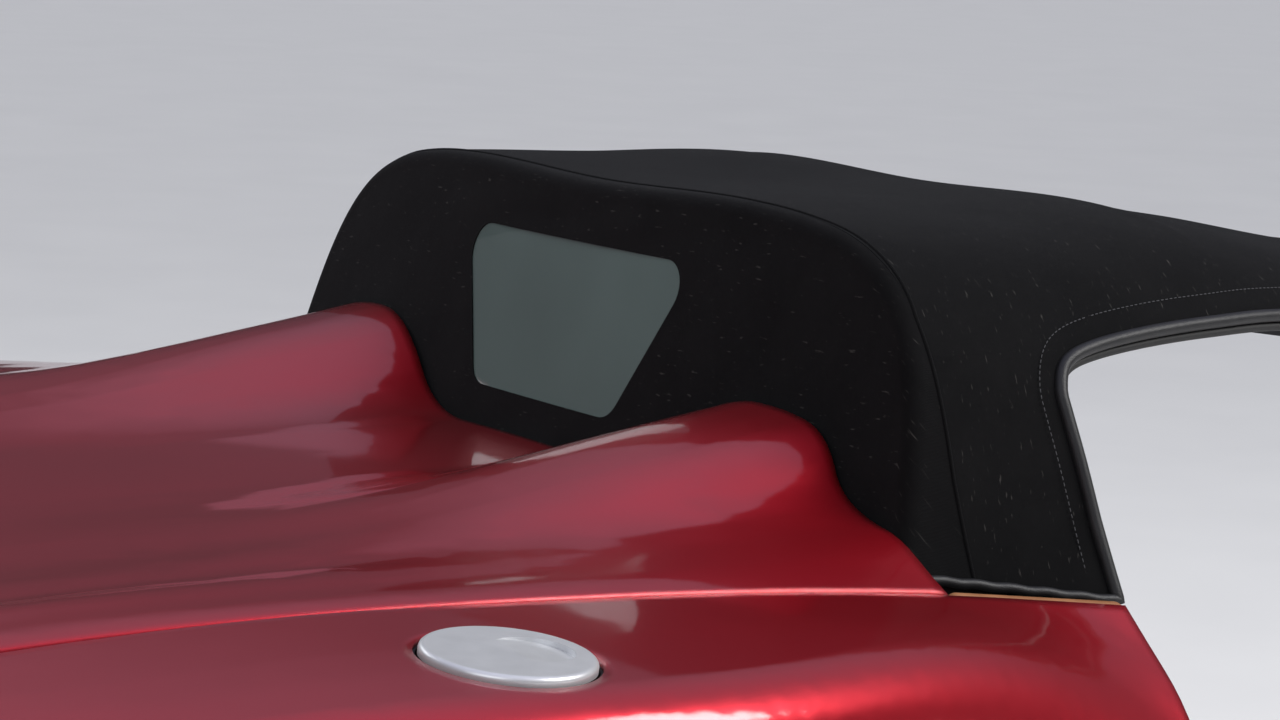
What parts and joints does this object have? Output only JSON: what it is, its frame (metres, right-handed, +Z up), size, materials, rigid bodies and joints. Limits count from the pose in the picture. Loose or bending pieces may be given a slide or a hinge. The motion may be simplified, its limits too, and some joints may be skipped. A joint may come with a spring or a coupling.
{
  "type": "convertible car rear body section with soft top",
  "caption": "Rear body section of a convertible: wings, twin-fairing deck lid, tail and a folding fabric soft top with rear window, bolted on at its bulkhead.",
  "frame": {"origin": "centre of the four bolt holes on the front face of the bulkhead, in the door shut plane", "axes": "+X forward along the car, +Y left, +Z up"},
  "size_m": [2.2306, 2.0016, 1.0247],
  "materials": {
    "body_paint": "glossy metallic red with clear coat",
    "underbody": "semi-matt black primer",
    "frame_steel": "satin black",
    "hood_fabric": "woven canvas, dusty",
    "window": "grey-green tint",
    "well_plastic": "moulded",
    "satin_metal": "satin",
    "tan_leather": "grained",
    "lamp_lens": "clear red"
  },
  "bodies": {
    "shell": {"rear_wing_right": "body_paint", "rear_wing_left": "body_paint", "wheelhouse_right": "underbody", "wheelhouse_left": "underbody", "door_post_right": "body_paint", "door_post_left": "body_paint", "bulkhead": "underbody", "chassis_rail_right": "underbody", "chassis_rail_left": "underbody", "boot_floor": "underbody", "rear_beam": "underbody", "hood_well": "well_plastic", "tail_lamp_right": "lamp_lens", "tail_lamp_left": "lamp_lens", "tail_panel": "body_paint", "filler_bowl": "well_plastic", "pivot_bracket_right": "frame_steel", "pivot_bracket_left": "frame_steel", "waist_trim_right": "tan_leather", "waist_trim_left": "tan_leather", "hinge_bracket_right": "underbody", "hinge_bracket_left": "underbody"},
    "lid": {"deck_lid": "body_paint", "lid_frame": "underbody", "tail_lip": "body_paint", "lid_arm_right": "underbody", "lid_arm_left": "underbody"},
    "flap": {"filler_flap": "satin_metal"},
    "roof_main": {"main_arm_right": "frame_steel", "main_arm_left": "frame_steel", "rear_bow": "frame_steel", "base_bow": "frame_steel", "hood_quarter": "hood_fabric", "hood_rear_panel": "hood_fabric", "rear_window": "window"},
    "roof_mid": {"mid_rail_right": "frame_steel", "mid_rail_left": "frame_steel", "mid_bow": "frame_steel", "hood_mid": "hood_fabric"},
    "roof_front": {"front_rail_right": "frame_steel", "front_rail_left": "frame_steel", "header_rail": "frame_steel", "hood_front": "hood_fabric"}
  },
  "joints": [
    {"name": "lid_open", "type": "hinge", "parent": "shell", "child": "lid", "pos_m": [-1.34, 0, 0.08], "axis": [0, -1, 0], "range_deg": [0, 71.5]},
    {"name": "roof_fold", "type": "hinge", "parent": "shell", "child": "roof_main", "pos_m": [-0.15, 0, 0.33], "axis": [0, -1, 0], "range_deg": [0, 110], "deforming": ["hood_quarter", "hood_rear_panel"]},
    {"name": "mid_fold", "type": "hinge", "parent": "roof_main", "child": "roof_mid", "pos_m": [-0.13, 0, 0.583], "axis": [0, -1, 0], "range_deg": [-110, 0], "deforming": ["hood_mid"]},
    {"name": "front_fold", "type": "hinge", "parent": "roof_mid", "child": "roof_front", "pos_m": [0.24, 0, 0.606], "axis": [0, -1, 0], "range_deg": [0, 172], "deforming": ["hood_front"]},
    {"name": "filler_open", "type": "hinge", "parent": "shell", "child": "flap", "pos_m": [-0.88156, -0.86868, 0.38696], "axis": [-0.0036, -0.9963, -0.0853], "range_deg": [0, 90]}
  ],
  "couplings": [
    {"joint": "roof_fold", "follows": "lid_open", "ratio": 1.5385},
    {"joint": "mid_fold", "follows": "lid_open", "ratio": -1.5385},
    {"joint": "front_fold", "follows": "lid_open", "ratio": 2.4056}
  ]
}
